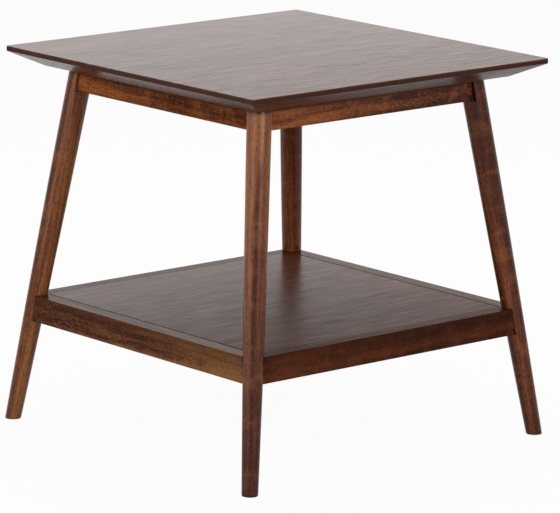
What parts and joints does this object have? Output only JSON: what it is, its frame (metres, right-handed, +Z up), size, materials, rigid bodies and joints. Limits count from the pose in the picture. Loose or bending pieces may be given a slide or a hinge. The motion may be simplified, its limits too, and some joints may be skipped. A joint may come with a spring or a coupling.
{
  "type": "end table with shelf",
  "caption": "Square wooden end table with a bevelled top, splayed turned legs, slim aprons and a framed lower shelf housed in the legs.",
  "frame": {"origin": "on the floor, under the middle of the table", "axes": "+Z up; the front is -Y; the grain of the top and of the shelf boards runs along X"},
  "size_m": [0.5706, 0.5706, 0.56],
  "materials": {
    "top_wood": "walnut stain, satin lacquer",
    "leg_wood": "walnut stain, satin lacquer",
    "apron_wood": "walnut stain, satin lacquer",
    "rail_wood": "walnut stain, satin lacquer",
    "shelf_wood": "walnut stain, satin lacquer",
    "block_wood": "walnut stain, thin and dull",
    "dowel_wood": "plain beech",
    "screw_steel": "zinc plated"
  },
  "bodies": {
    "root": {"top_board_1": "top_wood", "top_board_2": "top_wood", "top_board_3": "top_wood", "top_board_4": "top_wood", "top_board_5": "top_wood", "leg_front_right": "leg_wood", "leg_back_right": "leg_wood", "leg_back_left": "leg_wood", "leg_front_left": "leg_wood", "apron_front": "apron_wood", "apron_right": "apron_wood", "apron_back": "apron_wood", "apron_left": "apron_wood", "shelf_rail_front": "rail_wood", "shelf_rail_right": "rail_wood", "shelf_rail_back": "rail_wood", "shelf_rail_left": "rail_wood", "shelf_board_1": "shelf_wood", "shelf_board_2": "shelf_wood", "shelf_board_3": "shelf_wood", "shelf_board_4": "shelf_wood", "corner_block_front_right": "block_wood", "corner_block_back_right": "block_wood", "corner_block_back_left": "block_wood", "corner_block_front_left": "block_wood", "shelf_block_front_right": "block_wood", "shelf_block_back_right": "block_wood", "shelf_block_back_left": "block_wood", "shelf_block_front_left": "block_wood", "shelf_cleat_front": "block_wood", "shelf_cleat_right": "block_wood", "shelf_cleat_back": "block_wood", "shelf_cleat_left": "block_wood", "top_board_dowels": "dowel_wood", "shelf_board_dowels": "dowel_wood", "apron_dowels": "dowel_wood", "leg_screws": "screw_steel", "shelf_leg_screws": "screw_steel", "apron_block_screws": "screw_steel", "top_screws": "screw_steel", "shelf_cleat_screws": "screw_steel"}
  },
  "joints": []
}
